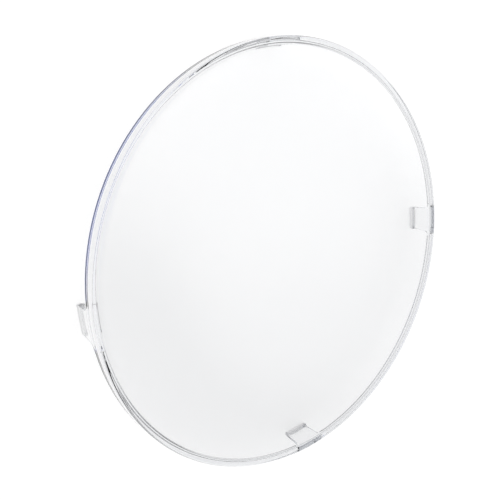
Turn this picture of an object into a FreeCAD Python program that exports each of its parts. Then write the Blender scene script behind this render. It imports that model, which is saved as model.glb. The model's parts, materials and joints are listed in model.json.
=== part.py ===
import FreeCAD, Part
import math
import os

# Clear lens cover for a round driving light, moulded in one piece.
# A flat round face carries a short skirt that slips over the lamp's bezel, and
# four barbed clips on the skirt's rear edge snap behind the bezel.
# Lengths are in millimetres and angles in degrees.
# The cover lies face up on the tips of its clips, with its axis along +Z and
# the origin on that axis, in the plane of the clip tips.

# Socket that takes the lamp
lamp_diameter = 215.0
bezel_clearance = 0.3

# Face and skirt
face_thickness = 2.8
socket_depth = 3.4
skirt_wall = 2.4
skirt_draft = 5.0
front_round = 1.5
socket_round = 2.4

# Clips
clip_count = 4
clip_length = 14.0
clip_tip_width = 13.8
clip_root_width = 15.6
clip_step = 1.0
clip_side_fillet = 2.8
clip_inner_fillet = 0.9
clip_corner_round = 1.4
clip_tip_round = 0.6
clip_tip_flat = 0.8
clip_seat = 1.2

# Barb at the tip of each clip
barb_height = 1.5
barb_lead_length = 2.4
barb_crest_length = 1.0
barb_catch_length = 0.6
barb_nose_round = 0.8

# Radii and heights that follow from the sizes above
socket_radius = lamp_diameter / 2 + bezel_clearance
rim_radius = socket_radius + skirt_wall
skirt_rear = clip_length
face_back = skirt_rear + socket_depth
face_front = face_back + face_thickness
front_radius = rim_radius - (face_front - skirt_rear) * math.tan(math.radians(skirt_draft))
arm_inner_radius = socket_radius + clip_step
crest_radius = arm_inner_radius - barb_height

AXIS = FreeCAD.Vector(0, 0, 1)
CENTRE = FreeCAD.Vector(0, 0, 0)


def section(r, z):
    """A point of a section through the axis, at radius r and height z."""
    return FreeCAD.Vector(r, 0, z)


def elevation(y, z):
    """A point of a clip's outline, seen along its own radius."""
    return FreeCAD.Vector(0, y, z)


def line(a, b):
    """A straight edge from a to b."""
    return Part.LineSegment(a, b).toShape()


def arc(a, b, centre):
    """The short arc from a to b about a centre that lies equally far from both."""
    radius = (a - centre).Length
    toward_middle = (a + b) * 0.5 - centre
    middle = centre + toward_middle.normalize() * radius
    return Part.Arc(a, middle, b).toShape()


def turned(edges, sweep=360):
    """The solid that a closed section makes when it is turned about the axis."""
    profile = Part.Face(Part.Wire(edges))
    solid = profile.revolve(CENTRE, AXIS, sweep)
    solid.rotate(CENTRE, AXIS, -sweep / 2)
    return solid


def circle_edge(solid, radius, height):
    """The circular edges of a turned solid at one radius and height."""
    found = []
    for edge in solid.Edges:
        is_circle = isinstance(edge.Curve, Part.Circle)
        if is_circle and abs(edge.Curve.Radius - radius) < 1e-6:
            if abs(edge.Curve.Center.z - height) < 1e-6:
                found.append(edge)
    return found


def make_dish():
    """The face and its skirt, with the rounded front edge and socket corner."""
    corners = [
        section(0, face_back),
        section(0, face_front),
        section(front_radius, face_front),
        section(rim_radius, skirt_rear),
        section(socket_radius, skirt_rear),
        section(socket_radius, face_back),
    ]
    edges = []
    for start, end in zip(corners, corners[1:] + corners[:1]):
        edges.append(line(start, end))
    dish = turned(edges)
    dish = dish.makeFillet(front_round, circle_edge(dish, front_radius, face_front))
    return dish.makeFillet(socket_round, circle_edge(dish, socket_radius, face_back))


def make_clip_ring():
    """A stretch of ring with a clip's section: its arm, its round-nosed barb and its root."""
    lead_radius = rim_radius - clip_tip_round - clip_tip_flat
    inner_fillet = min(clip_inner_fillet, clip_step)
    crest_top = barb_lead_length + barb_crest_length
    catch_top = crest_top + barb_catch_length
    root_top = skirt_rear + clip_seat
    root_inset = skirt_wall / 4

    tip_inner = section(lead_radius, 0)
    tip_outer = section(rim_radius - clip_tip_round, 0)
    arm_outer_low = section(rim_radius, clip_tip_round)
    arm_outer_high = section(rim_radius, skirt_rear)
    root_outer = section(rim_radius - root_inset, root_top)
    root_inner = section(socket_radius + root_inset, root_top)
    fillet_high = section(arm_inner_radius - inner_fillet, skirt_rear)
    fillet_low = section(arm_inner_radius, skirt_rear - inner_fillet)
    arm_inner_low = section(arm_inner_radius, catch_top)
    crest_high = section(crest_radius, crest_top)
    crest_low = section(crest_radius, barb_lead_length)

    tip_centre = section(rim_radius - clip_tip_round, clip_tip_round)
    fillet_centre = section(fillet_high.x, fillet_low.z)
    edges = [
        line(tip_inner, tip_outer),
        arc(tip_outer, arm_outer_low, tip_centre),
        line(arm_outer_low, arm_outer_high),
        line(arm_outer_high, root_outer),
        line(root_outer, root_inner),
        line(root_inner, fillet_high),
        arc(fillet_high, fillet_low, fillet_centre),
        line(fillet_low, arm_inner_low),
        line(arm_inner_low, crest_high),
        line(crest_high, crest_low),
        line(crest_low, tip_inner),
    ]
    ring = turned(edges, 360 / clip_count)
    nose = circle_edge(ring, crest_radius, crest_top)
    nose += circle_edge(ring, crest_radius, barb_lead_length)
    return ring.makeFillet(barb_nose_round, nose)


def make_clip_blank():
    """A block with a clip's outline: tapered sides, flared root and rounded corners."""
    half_tip = clip_tip_width / 2
    half_root = clip_root_width / 2
    root_top = skirt_rear + clip_seat
    slant = math.atan2(half_root - half_tip, clip_length)

    # The flare touches the tapered side at its lower end and the rear edge at its upper end.
    flare_reach = clip_side_fillet * math.tan((math.pi / 2 - slant) / 2)
    flare_low = elevation(
        half_root - flare_reach * math.sin(slant),
        skirt_rear - flare_reach * math.cos(slant),
    )
    flare_high = elevation(half_root + flare_reach, skirt_rear)
    flare_centre = elevation(flare_high.y, skirt_rear - clip_side_fillet)

    # The corner round touches the tapered side and the flat of the tip.
    corner_reach = clip_corner_round * math.tan((math.pi / 2 - slant) / 2)
    corner_high = elevation(
        half_tip + corner_reach * math.sin(slant),
        corner_reach * math.cos(slant),
    )
    corner_low = elevation(half_tip - corner_reach, 0)
    corner_centre = elevation(corner_low.y, clip_corner_round)

    root = elevation(flare_high.y, root_top)
    side = [
        line(root, flare_high),
        arc(flare_high, flare_low, flare_centre),
        line(flare_low, corner_high),
        arc(corner_high, corner_low, corner_centre),
    ]
    tip = line(corner_low, elevation(-corner_low.y, 0))
    far_side = [edge.mirror(CENTRE, FreeCAD.Vector(0, 1, 0)) for edge in reversed(side)]
    top = line(elevation(-root.y, root_top), root)
    outline = Part.Face(Part.Wire(side + [tip] + far_side + [top]))
    return outline.extrude(FreeCAD.Vector(rim_radius + skirt_wall, 0, 0))


def make_clip(index):
    """One clip, turned to its place round the rim."""
    clip = make_clip_ring().common(make_clip_blank()).Solids[0]
    clip.rotate(CENTRE, AXIS, index * 360 / clip_count)
    return clip


def make_cover():
    """The whole cover as one solid."""
    clips = [make_clip(index) for index in range(clip_count)]
    cover = make_dish().multiFuse(clips)
    return cover.removeSplitter().Solids[0]


cover = make_cover()
os.makedirs("parts", exist_ok=True)
cover.exportStep("parts/lens_cover.step")
print("volume", round(cover.Volume), "mm3, valid", cover.isValid())
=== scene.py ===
import json
import math

import bpy
from mathutils import Matrix, Vector


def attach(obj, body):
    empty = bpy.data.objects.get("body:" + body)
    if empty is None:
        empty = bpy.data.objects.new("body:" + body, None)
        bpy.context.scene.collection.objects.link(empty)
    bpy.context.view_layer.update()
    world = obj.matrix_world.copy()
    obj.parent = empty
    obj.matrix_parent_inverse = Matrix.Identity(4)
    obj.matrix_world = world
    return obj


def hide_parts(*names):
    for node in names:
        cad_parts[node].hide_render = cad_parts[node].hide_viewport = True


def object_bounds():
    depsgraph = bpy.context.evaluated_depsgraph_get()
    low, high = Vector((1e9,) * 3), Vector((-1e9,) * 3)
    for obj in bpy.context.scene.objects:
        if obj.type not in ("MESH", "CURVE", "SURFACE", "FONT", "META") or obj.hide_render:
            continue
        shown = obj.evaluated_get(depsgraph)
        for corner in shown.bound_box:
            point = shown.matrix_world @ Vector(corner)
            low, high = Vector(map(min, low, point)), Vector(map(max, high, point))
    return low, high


# A clear round lens cover for a driving light, lying face up on its four clips.
# Lengths are in metres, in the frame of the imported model.
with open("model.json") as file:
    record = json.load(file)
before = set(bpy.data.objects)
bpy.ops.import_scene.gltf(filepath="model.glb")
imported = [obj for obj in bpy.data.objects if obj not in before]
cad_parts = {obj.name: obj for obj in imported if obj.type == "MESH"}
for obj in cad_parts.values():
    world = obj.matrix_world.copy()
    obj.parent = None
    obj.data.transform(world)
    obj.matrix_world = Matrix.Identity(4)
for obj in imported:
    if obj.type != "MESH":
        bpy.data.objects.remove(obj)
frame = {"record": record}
cad_low, cad_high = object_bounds()
MM = 0.001

# Sizes that the frame gives
mounts = {mount["name"]: mount for mount in frame["record"]["mounts"]}
socket = mounts["bezel_socket"]
RIM_RADIUS = cad_high.x
FACE_FRONT = cad_high.z
FACE_BACK = mounts["socket_floor"]["pos_m"][2]
SOCKET_RADIUS = socket["dims"]["r_mm"] * MM
SKIRT_REAR = socket["pos_m"][2] - socket["dims"]["length_mm"] / 2 * MM

# Sizes of the moulding's details, the same as in the part's source
SKIRT_DRAFT = math.radians(5.0)
FRONT_ROUND = 1.5 * MM
SOCKET_ROUND = 2.4 * MM
CLIP_COUNT = 4
CLIP_TIP_WIDTH = 13.8 * MM
CLIP_ROOT_WIDTH = 15.6 * MM
CLIP_STEP = 1.0 * MM
CLIP_SIDE_FILLET = 2.8 * MM
CLIP_INNER_FILLET = 0.9 * MM
CLIP_CORNER_ROUND = 1.4 * MM
CLIP_TIP_ROUND = 0.6 * MM
CLIP_TIP_FLAT = 0.8 * MM
BARB_HEIGHT = 1.5 * MM
BARB_LEAD_LENGTH = 2.4 * MM
BARB_CREST_LENGTH = 1.0 * MM
BARB_CATCH_LENGTH = 0.6 * MM
BARB_NOSE_ROUND = 0.8 * MM

# Its slightly broken edges, where two sides meet at more than the sharp angle
EDGE_BREAK = 0.3 * MM
EDGE_SEGMENTS = 3
SHARP_ANGLE = math.radians(40)

# Radii, heights and lengths that follow from the sizes above
FRONT_RADIUS = RIM_RADIUS - (FACE_FRONT - SKIRT_REAR) * math.tan(SKIRT_DRAFT)
ARM_INNER_RADIUS = SOCKET_RADIUS + CLIP_STEP
CREST_RADIUS = ARM_INNER_RADIUS - BARB_HEIGHT
CREST_TOP = BARB_LEAD_LENGTH + BARB_CREST_LENGTH
CATCH_TOP = CREST_TOP + BARB_CATCH_LENGTH
LEAD_RADIUS = RIM_RADIUS - CLIP_TIP_ROUND - CLIP_TIP_FLAT
CLIP_SLANT = math.atan2(CLIP_ROOT_WIDTH - CLIP_TIP_WIDTH, 2 * SKIRT_REAR)
FLARE_REACH = CLIP_SIDE_FILLET * math.tan((math.pi / 2 - CLIP_SLANT) / 2)
FLARE_SPAN = FLARE_REACH * math.cos(CLIP_SLANT)
CORNER_REACH = CLIP_CORNER_ROUND * math.tan((math.pi / 2 - CLIP_SLANT) / 2)
CORNER_SPAN = CORNER_REACH * math.cos(CLIP_SLANT)

# The plastic. Its zones are the radii and the heights over which its look changes: a rim greyed as
# painted shade, and barbs that are rougher and also greyed as painted shade.
REFRACTIVE_INDEX = 1.585
TINT_COLOUR = (0.74, 0.76, 0.80, 1.0)
TINT_DENSITY = 60.0
# Painted shade: towards the rim the base colour turns a little greyer.
RIM_SHADE_ZONE = (104.0 * MM, 106.5 * MM)
RIM_SHADE_COLOUR = (0.97, 0.97, 0.97, 1.0)
BARB_ZONE = (4.6 * MM, 3.4 * MM)
# Painted shade: the barbs' base colour is greyer. Their roughness is real.
BARB_SHADE_COLOUR = (0.8, 0.8, 0.8, 1.0)
BARB_ROUGHNESS = 0.28

# The relief of its surface. Scales are in periods to the metre.
NOISE_DETAIL = 2.0
GRAIN_SCALE = 1800.0
GRAIN_HEIGHT = 0.02 * MM
WAVE_SCALE = 60.0
WAVE_HEIGHT = 0.05 * MM

# How finely the mesh is divided. Inside the spoke radius its columns are plain spokes.
CLIP_COLUMNS = 16
GAP_COLUMNS = 352
QUARTER_COLUMNS = CLIP_COLUMNS + GAP_COLUMNS
ARC_STEPS = 8
SPOKE_RADIUS = 0.9 * RIM_RADIUS
FLAT_RADII = [share * RIM_RADIUS for share in (0.2, 0.5, 0.8, 0.95)]

# The room that a clip's levels leave for its broken edges, and the least step between them
EDGE_ROOM = 0.36 * MM
LEAST_STEP = 0.04 * MM

# The camera, from the photograph's perspective of the rim and the clips
CAMERA_TARGET = Vector((-32.25, 15.76, 20.2)) * MM
CAMERA_DISTANCE = 237.62 * MM
CAMERA_AZIMUTH = math.radians(151.70)
CAMERA_ELEVATION = math.radians(52.66)
CAMERA_ROLL = math.radians(107.94)
CAMERA_LENS = 36.36
CAMERA_SENSOR = 36.0
CAMERA_NEAR = 10.0 * MM

# The studio. Directions are azimuths from the camera's own and elevations.
FLOOR_SIZE = 6.0
FLOOR_SHADE = 0.25
FLOOR_GLOW = 0.82
UPPER_LEVEL = 0.28
BACKDROP_AXIS = (0.0, math.radians(-90))
BACKDROP_EDGES = (math.radians(117), math.radians(128))
BACKDROP_LEVEL = 0.85
LEFT_CARD_AXIS = (math.radians(-92), math.radians(44))
RIGHT_CARD_AXIS = (math.radians(92), math.radians(44))
CARD_EDGES = (math.radians(22), math.radians(30))
CARD_LEVEL = 0.07
CEILING_AXIS = (math.radians(-30), math.radians(80))
CEILING_EDGES = (math.radians(24), math.radians(30))
CEILING_COLOUR = (0.21, 0.27, 0.66, 1.0)
FILL_AXIS = (math.radians(178), math.radians(47))
FILL_EDGES = (math.radians(4), math.radians(16))
FILL_LEVEL = 0.9
LIGHT_AXIS = (math.radians(-150), math.radians(53))
LIGHT_EDGES = (math.radians(3), math.radians(28))
LIGHT_LEVEL = 1.5
BOUNCES = 32


def arc(centre, radius, first, last):
    """Points of an arc in the plane of radius and height, angles in degrees."""
    points = []
    for step in range(ARC_STEPS + 1):
        angle = math.radians(first + (last - first) * step / ARC_STEPS)
        points.append((centre[0] + radius * math.cos(angle), centre[1] + radius * math.sin(angle)))
    return points


def dish_section():
    """Section of the face and skirt as points of (radius, height): its front, rear edge and back."""
    lean = math.degrees(SKIRT_DRAFT)
    round_reach = FRONT_ROUND * math.tan(math.radians((90 - lean) / 2))
    round_centre = (FRONT_RADIUS - round_reach, FACE_FRONT - FRONT_ROUND)
    corner_centre = (SOCKET_RADIUS - SOCKET_ROUND, FACE_BACK - SOCKET_ROUND)
    front = [(radius, FACE_FRONT) for radius in FLAT_RADII]
    front += arc(round_centre, FRONT_ROUND, 90, lean)
    rear = [(RIM_RADIUS, SKIRT_REAR), (SOCKET_RADIUS, SKIRT_REAR)]
    back = arc(corner_centre, SOCKET_ROUND, 0, 90)
    back += [(radius, FACE_BACK) for radius in reversed(FLAT_RADII)]
    return front, rear, back


def clip_half_width(height):
    """Half the width of a clip at a height: rounded tip corner, tapered side, flared root."""
    half_tip = CLIP_TIP_WIDTH / 2
    half_root = CLIP_ROOT_WIDTH / 2
    if height < CORNER_SPAN:
        drop = CLIP_CORNER_ROUND - height
        return half_tip - CORNER_REACH + math.sqrt(max(CLIP_CORNER_ROUND ** 2 - drop ** 2, 0.0))
    if height > SKIRT_REAR - FLARE_SPAN:
        rise = height - (SKIRT_REAR - CLIP_SIDE_FILLET)
        return half_root + FLARE_REACH - math.sqrt(max(CLIP_SIDE_FILLET ** 2 - rise ** 2, 0.0))
    return half_tip + (half_root - half_tip) * height / SKIRT_REAR


def clip_outer_radius(height):
    """Radius of a clip's outer side at a height."""
    if height >= CLIP_TIP_ROUND:
        return RIM_RADIUS
    drop = CLIP_TIP_ROUND - height
    return RIM_RADIUS - CLIP_TIP_ROUND + math.sqrt(CLIP_TIP_ROUND ** 2 - drop ** 2)


def rounded(before, corner, after, radius):
    """Points of the arc that rounds a corner between two straight lines."""
    into = math.atan2(corner[1] - before[1], corner[0] - before[0])
    out = math.atan2(after[1] - corner[1], after[0] - corner[0])
    turn = (out - into + math.pi) % (2 * math.pi) - math.pi
    side = math.copysign(math.pi / 2, turn)
    reach = radius * math.tan(abs(turn) / 2)
    centre = (
        corner[0] - reach * math.cos(into) + radius * math.cos(into + side),
        corner[1] - reach * math.sin(into) + radius * math.sin(into + side),
    )
    return arc(centre, radius, math.degrees(into - side), math.degrees(into - side + turn))


def clip_inner_side():
    """A clip's inner side from the tip up: lead-in, rounded barb, catch, arm and root fillet."""
    tip = (LEAD_RADIUS, 0.0)
    crest_low = (CREST_RADIUS, BARB_LEAD_LENGTH)
    crest_high = (CREST_RADIUS, CREST_TOP)
    arm_low = (ARM_INNER_RADIUS, CATCH_TOP)
    fillet_centre = (ARM_INNER_RADIUS - CLIP_INNER_FILLET, SKIRT_REAR - CLIP_INNER_FILLET)
    points = [tip]
    points += rounded(tip, crest_low, crest_high, BARB_NOSE_ROUND)
    points += rounded(crest_low, crest_high, arm_low, BARB_NOSE_ROUND)
    points.append(arm_low)
    points += arc(fillet_centre, CLIP_INNER_FILLET, 0, 90)
    return points


INNER_SIDE = clip_inner_side()


def clip_inner_radius(height):
    """Radius of a clip's inner side at a height."""
    for lower, upper in zip(INNER_SIDE, INNER_SIDE[1:]):
        if height <= upper[1]:
            share = (height - lower[1]) / (upper[1] - lower[1])
            return lower[0] + (upper[0] - lower[0]) * share
    return INNER_SIDE[-1][0]


def clip_levels():
    """Heights at which a clip's section is taken, from the skirt's rear edge down to the tip."""
    levels = [height for radius, height in INNER_SIDE]
    for step in range(ARC_STEPS + 1):
        share = 1 - math.cos(math.pi / 2 * step / ARC_STEPS)
        levels.append(SKIRT_REAR - FLARE_SPAN * share)
        levels.append(CORNER_SPAN * share)
        levels.append(CLIP_TIP_ROUND * share)
    kept = [SKIRT_REAR]
    for level in sorted(levels, reverse=True):
        inside = EDGE_ROOM < level < SKIRT_REAR - EDGE_ROOM
        if inside and kept[-1] - level > LEAST_STEP:
            kept.append(level)
    return kept + [0.0]


class Lathe:
    """A closed mesh of rings round the axis, whose columns bunch up at the clips."""

    def __init__(self):
        self.vertices = []
        self.faces = []
        self.columns = CLIP_COUNT * QUARTER_COLUMNS
        self.root_half_width = clip_half_width(SKIRT_REAR)

    def angle(self, column, radius):
        """Angle of a column at a radius. Clip columns keep their distance from the clip's middle."""
        quarter, place = divmod(column, QUARTER_COLUMNS)
        radius = max(radius, SPOKE_RADIUS)
        half = math.asin(self.root_half_width / radius)
        turn = 2 * math.pi / CLIP_COUNT
        if place <= CLIP_COLUMNS:
            y = (2 * place / CLIP_COLUMNS - 1) * self.root_half_width
            return quarter * turn + math.asin(y / radius)
        share = (place - CLIP_COLUMNS) / GAP_COLUMNS
        return quarter * turn + half + share * (turn - 2 * half)

    def ring(self, radius, height):
        """Adds a full ring of vertices and returns their indices."""
        first = len(self.vertices)
        for column in range(self.columns):
            angle = self.angle(column, radius)
            self.vertices.append((radius * math.cos(angle), radius * math.sin(angle), height))
        return list(range(first, first + self.columns))

    def band(self, upper, lower, skip_clips=False):
        """Adds the faces between two rings, left open under the clips if asked."""
        for column in range(self.columns):
            if skip_clips and column % QUARTER_COLUMNS < CLIP_COLUMNS:
                continue
            following = (column + 1) % self.columns
            self.faces.append((upper[column], lower[column], lower[following], upper[following]))

    def clip_row(self, quarter, radius, height):
        """Adds one row of vertices across a clip and returns their indices."""
        half = clip_half_width(height)
        turn = quarter * 2 * math.pi / CLIP_COUNT
        first = len(self.vertices)
        for place in range(CLIP_COLUMNS + 1):
            angle = turn + math.asin((2 * place / CLIP_COLUMNS - 1) * half / radius)
            self.vertices.append((radius * math.cos(angle), radius * math.sin(angle), height))
        return list(range(first, first + CLIP_COLUMNS + 1))

    def clip(self, quarter, outer_top, inner_top):
        """Adds a clip under two rows of the skirt's rear edge."""
        outer, inner = outer_top, inner_top
        for height in clip_levels()[1:]:
            next_outer = self.clip_row(quarter, clip_outer_radius(height), height)
            next_inner = self.clip_row(quarter, clip_inner_radius(height), height)
            for place in range(CLIP_COLUMNS):
                after = place + 1
                self.faces.append((outer[place], next_outer[place], next_outer[after], outer[after]))
                self.faces.append((inner[after], next_inner[after], next_inner[place], inner[place]))
            self.faces.append((outer[0], inner[0], next_inner[0], next_outer[0]))
            self.faces.append((outer[-1], next_outer[-1], next_inner[-1], inner[-1]))
            outer, inner = next_outer, next_inner
        for place in range(CLIP_COLUMNS):
            self.faces.append((outer[place], inner[place], inner[place + 1], outer[place + 1]))


def build_cover():
    """The whole moulding as one closed mesh."""
    lathe = Lathe()
    front, rear, back = dish_section()
    rings = [lathe.ring(radius, height) for radius, height in front + rear + back]
    rim = len(front)
    for index in range(len(rings) - 1):
        lathe.band(rings[index], rings[index + 1], skip_clips=index == rim)
    lathe.faces.append(tuple(rings[0]))
    lathe.faces.append(tuple(reversed(rings[-1])))
    outer_ring, inner_ring = rings[rim], rings[rim + 1]
    for quarter in range(CLIP_COUNT):
        start = quarter * QUARTER_COLUMNS
        stop = start + CLIP_COLUMNS + 1
        lathe.clip(quarter, outer_ring[start:stop], inner_ring[start:stop])
    mesh = bpy.data.meshes.new("clear_lens_cover")
    mesh.from_pydata(lathe.vertices, [], lathe.faces)
    mesh.shade_smooth()
    mesh.set_sharp_from_angle(angle=SHARP_ANGLE)
    cover = bpy.data.objects.new("clear_lens_cover", mesh)
    bpy.context.collection.objects.link(cover)
    bevel = cover.modifiers.new("edge_break", "BEVEL")
    bevel.width = EDGE_BREAK
    bevel.segments = EDGE_SEGMENTS
    bevel.use_clamp_overlap = False
    bevel.limit_method = "ANGLE"
    bevel.angle_limit = SHARP_ANGLE
    bevel.harden_normals = True
    return cover


def grey(level):
    """A neutral colour."""
    return (level, level, level, 1.0)


def ramp(nodes, links, value, first, last, high=1.0):
    """A number that rises smoothly from 0 to high while a value goes from first to last."""
    step = nodes.new("ShaderNodeMapRange")
    step.interpolation_type = "SMOOTHSTEP"
    step.inputs["From Min"].default_value = first
    step.inputs["From Max"].default_value = last
    step.inputs["To Max"].default_value = high
    links.new(value, step.inputs["Value"])
    return step.outputs["Result"]


def blend(nodes, links, share, under, over):
    """One colour laid over another, or over what is linked, by a share."""
    mix = nodes.new("ShaderNodeMix")
    mix.data_type = "RGBA"
    if isinstance(under, tuple):
        mix.inputs["A"].default_value = under
    else:
        links.new(under, mix.inputs["A"])
    mix.inputs["B"].default_value = over
    links.new(share, mix.inputs["Factor"])
    return mix.outputs["Result"]


def relief(nodes, links, place, scale, height):
    """A bump from noise of a scale and a height."""
    noise = nodes.new("ShaderNodeTexNoise")
    noise.inputs["Scale"].default_value = scale
    noise.inputs["Detail"].default_value = NOISE_DETAIL
    links.new(place, noise.inputs["Vector"])
    bump = nodes.new("ShaderNodeBump")
    bump.inputs["Strength"].default_value = 1.0
    bump.inputs["Distance"].default_value = height
    links.new(noise.outputs["Fac"], bump.inputs["Height"])
    return bump


def clear_plastic():
    """Water-clear polycarbonate: polished face, a rim greyed as painted shade, and barbs left matt by
    the mould and greyed as painted shade.
    """
    material = bpy.data.materials.new("clear_polycarbonate")
    material.use_nodes = True
    nodes, links = material.node_tree.nodes, material.node_tree.links
    surface = nodes["Principled BSDF"]
    surface.inputs["Transmission Weight"].default_value = 1.0
    surface.inputs["IOR"].default_value = REFRACTIVE_INDEX

    place = nodes.new("ShaderNodeTexCoord").outputs["Object"]
    parts = nodes.new("ShaderNodeSeparateXYZ")
    links.new(place, parts.inputs["Vector"])
    flat = nodes.new("ShaderNodeCombineXYZ")
    links.new(parts.outputs["X"], flat.inputs["X"])
    links.new(parts.outputs["Y"], flat.inputs["Y"])
    radius = nodes.new("ShaderNodeVectorMath")
    radius.operation = "LENGTH"
    links.new(flat.outputs["Vector"], radius.inputs[0])
    rim_shade_share = ramp(nodes, links, radius.outputs["Value"], *RIM_SHADE_ZONE)
    at_barb = ramp(nodes, links, parts.outputs["Z"], *BARB_ZONE)
    # Painted shade: the rim's base colour is greyed.
    colour = blend(nodes, links, rim_shade_share, grey(1.0), RIM_SHADE_COLOUR)
    # Painted shade: the barbs' base colour is greyed.
    colour = blend(nodes, links, at_barb, colour, BARB_SHADE_COLOUR)
    links.new(colour, surface.inputs["Base Color"])
    rough = ramp(nodes, links, parts.outputs["Z"], *BARB_ZONE, high=BARB_ROUGHNESS)
    links.new(rough, surface.inputs["Roughness"])

    # The slight waviness of a moulded surface, and the matt grain of the barbs over it
    waves = relief(nodes, links, place, WAVE_SCALE, WAVE_HEIGHT)
    grain = relief(nodes, links, place, GRAIN_SCALE, GRAIN_HEIGHT)
    links.new(at_barb, grain.inputs["Strength"])
    links.new(waves.outputs["Normal"], grain.inputs["Normal"])
    links.new(grain.outputs["Normal"], surface.inputs["Normal"])

    # The faint tint that shows along long paths in the plastic
    tint = nodes.new("ShaderNodeVolumeAbsorption")
    tint.inputs["Color"].default_value = TINT_COLOUR
    tint.inputs["Density"].default_value = TINT_DENSITY
    links.new(tint.outputs["Volume"], nodes["Material Output"].inputs["Volume"])
    return material


def make_floor():
    """A plain white floor. Part of its light is its own, so that it stays white under a soft shadow."""
    bpy.ops.mesh.primitive_plane_add(size=FLOOR_SIZE, location=(0, 0, 0))
    floor = bpy.context.object
    floor.name = "floor"
    material = bpy.data.materials.new("white_floor")
    material.use_nodes = True
    surface = material.node_tree.nodes["Principled BSDF"]
    surface.inputs["Base Color"].default_value = grey(FLOOR_SHADE)
    surface.inputs["Roughness"].default_value = 1.0
    surface.inputs["Specular IOR Level"].default_value = 0.0
    surface.inputs["Emission Color"].default_value = grey(1.0)
    surface.inputs["Emission Strength"].default_value = FLOOR_GLOW
    floor.data.materials.append(material)


def direction(azimuth, elevation):
    """A unit vector, with its azimuth counted from the camera's own."""
    turned = CAMERA_AZIMUTH + azimuth
    return Vector((
        math.cos(elevation) * math.cos(turned),
        math.cos(elevation) * math.sin(turned),
        math.sin(elevation),
    ))


def near(nodes, links, axis, edges):
    """A share that is 1 near a direction and falls smoothly to 0 away from it."""
    cosine = nodes.new("ShaderNodeVectorMath")
    cosine.operation = "DOT_PRODUCT"
    cosine.inputs[1].default_value = direction(*axis)
    links.new(nodes.new("ShaderNodeTexCoord").outputs["Generated"], cosine.inputs[0])
    return ramp(nodes, links, cosine.outputs["Value"], math.cos(edges[1]), math.cos(edges[0]))


def make_world():
    """A pale backdrop that is darker above, two dark cards, a blue ceiling and two soft lights."""
    world = bpy.data.worlds.new("studio")
    bpy.context.scene.world = world
    world.use_nodes = True
    nodes, links = world.node_tree.nodes, world.node_tree.links
    path = nodes.new("ShaderNodeLightPath")
    layers = (
        (near(nodes, links, BACKDROP_AXIS, BACKDROP_EDGES), grey(BACKDROP_LEVEL)),
        (near(nodes, links, LEFT_CARD_AXIS, CARD_EDGES), grey(CARD_LEVEL)),
        (near(nodes, links, RIGHT_CARD_AXIS, CARD_EDGES), grey(CARD_LEVEL)),
        (near(nodes, links, CEILING_AXIS, CEILING_EDGES), CEILING_COLOUR),
        (near(nodes, links, FILL_AXIS, FILL_EDGES), grey(FILL_LEVEL)),
        (near(nodes, links, LIGHT_AXIS, LIGHT_EDGES), grey(LIGHT_LEVEL)),
        # What lights the floor is plain white, so the floor stays neutral.
        (path.outputs["Diffuse Depth"], grey(1.0)),
    )
    under = grey(UPPER_LEVEL)
    for share, colour in layers:
        under = blend(nodes, links, share, under, colour)
    links.new(under, nodes["Background"].inputs["Color"])


def make_camera():
    """The camera at the photograph's place, rolled so that the cover is turned as it is there."""
    toward = direction(0.0, CAMERA_ELEVATION)
    level_right = Vector((0, 0, 1)).cross(toward).normalized()
    level_up = toward.cross(level_right)
    right = level_right * math.cos(CAMERA_ROLL) + level_up * math.sin(CAMERA_ROLL)
    up = toward.cross(right)
    data = bpy.data.cameras.new("camera")
    data.lens = CAMERA_LENS
    data.sensor_width = CAMERA_SENSOR
    data.clip_start = CAMERA_NEAR
    camera = bpy.data.objects.new("camera", data)
    bpy.context.collection.objects.link(camera)
    turn = Matrix((right, up, toward)).transposed().to_4x4()
    camera.matrix_world = Matrix.Translation(CAMERA_TARGET + toward * CAMERA_DISTANCE) @ turn
    bpy.context.scene.camera = camera


make_camera()
make_world()
make_floor()
cover = build_cover()
cover.data.materials.append(clear_plastic())
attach(cover, "root")
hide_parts("lens_cover")

scene = bpy.context.scene
scene.view_settings.view_transform = "Standard"
scene.cycles.max_bounces = BOUNCES
scene.cycles.transmission_bounces = BOUNCES
scene.cycles.glossy_bounces = BOUNCES
